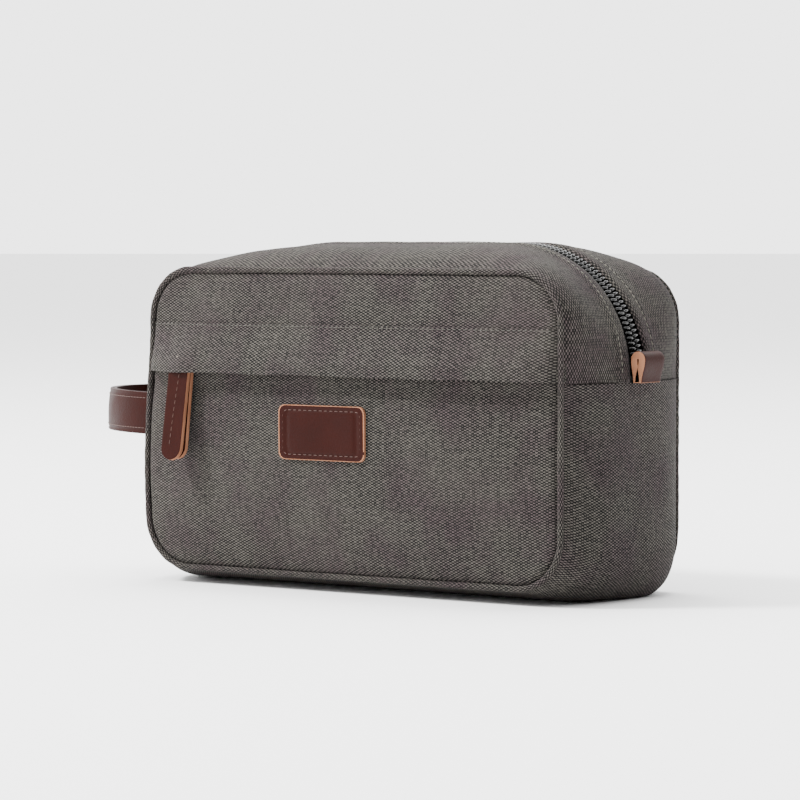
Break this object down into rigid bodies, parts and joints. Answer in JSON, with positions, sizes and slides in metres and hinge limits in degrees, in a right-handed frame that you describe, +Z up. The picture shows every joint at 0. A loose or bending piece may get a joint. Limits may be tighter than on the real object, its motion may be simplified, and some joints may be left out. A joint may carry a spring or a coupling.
{
  "type": "shaving kit bag",
  "caption": "Soft canvas wash bag with a zip over the top, a zipped front pocket under a flap, a side handle and leather trim.",
  "frame": {"origin": "middle of the flat underside", "axes": "+X along the length to the viewer's right, -Y to the front pocket, +Z up"},
  "size_m": [0.3339, 0.1354, 0.1756],
  "materials": {
    "canvas": "heavy washed canvas, plain weave, dark olive grey",
    "lining": "thin dark polyester lining",
    "leather": "waxed dark red-brown leather with tan cut edges",
    "zip_coil": "black moulded coil",
    "zip_tape": "black woven tape",
    "zip_metal": "dark antique plated zinc",
    "board": "plain stiffening board"
  },
  "bodies": {
    "base": {"side_and_base_gusset": "canvas", "back_lower_panel": "canvas", "pocket_panel": "canvas", "zip_facing": "canvas", "pocket_back_panel": "lining", "pocket_flap": "canvas", "front_welt_lower": "canvas", "back_welt_lower": "canvas", "front_strip_end_left": "canvas", "front_strip_end_right": "canvas", "back_strip_end_left": "canvas", "back_strip_end_right": "canvas", "pocket_zip_tape_lower": "zip_tape", "pocket_zip_tape_upper": "zip_tape", "pocket_zip_coil_lower": "zip_coil", "pocket_zip_coil_upper": "zip_coil", "zip_tape_end_left": "zip_tape", "zip_tape_end_right": "zip_tape", "zip_coil_end_left": "zip_coil", "zip_coil_end_right": "zip_coil", "leather_patch": "leather", "zip_end_tab": "leather", "lining_lower": "lining", "base_board": "board", "slip_pocket": "lining"},
    "front_mouth": {"front_upper_panel": "canvas", "front_welt_upper": "canvas", "front_gusset_strip": "canvas", "main_zip_tape_front": "zip_tape", "main_zip_coil_front": "zip_coil", "lining_upper_front": "lining"},
    "back_mouth": {"back_upper_panel": "canvas", "back_welt_upper": "canvas", "back_gusset_strip": "canvas", "main_zip_tape_back": "zip_tape", "main_zip_coil_back": "zip_coil", "lining_upper_back": "lining"},
    "main_slider": {"main_slider": "zip_metal"},
    "main_pull": {"main_pull_ring": "zip_metal", "main_pull_leather": "leather"},
    "pocket_slider": {"pocket_slider": "zip_metal"},
    "pocket_pull": {"pocket_pull_ring": "zip_metal", "pocket_pull_leather": "leather"},
    "handle": {"handle_outer_layer": "leather", "handle_inner_layer": "leather"}
  },
  "joints": [
    {"name": "front_mouth_fold", "type": "hinge", "parent": "base", "child": "front_mouth", "pos_m": [0, -0.059, 0.135], "axis": [1, 0, 0], "range_deg": [0, 25]},
    {"name": "back_mouth_fold", "type": "hinge", "parent": "base", "child": "back_mouth", "pos_m": [0, 0.059, 0.135], "axis": [-1, 0, 0], "range_deg": [0, 25]},
    {"name": "main_slider_run", "type": "hinge", "parent": "base", "child": "main_slider", "pos_m": [-0.0729, 0, 0.1085], "axis": [0, 1, 0], "range_deg": [0, 75]},
    {"name": "main_pull_swing", "type": "hinge", "parent": "main_slider", "child": "main_pull", "pos_m": [-0.14203, 0, 0.11606], "axis": [0, 1, 0], "range_deg": [0, 26]},
    {"name": "pocket_slider_run", "type": "slide", "parent": "base", "child": "pocket_slider", "axis": [1, 0, 0], "range_m": [0, 0.205]},
    {"name": "pocket_pull_swing", "type": "hinge", "parent": "pocket_slider", "child": "pocket_pull", "pos_m": [-0.1, -0.0632, 0.11], "axis": [-1, 0, 0], "range_deg": [0, 15]},
    {"name": "handle_swing", "type": "hinge", "parent": "base", "child": "handle", "pos_m": [-0.137, 0, 0.087], "axis": [0, 1, 0], "range_deg": [-23, 23]}
  ]
}
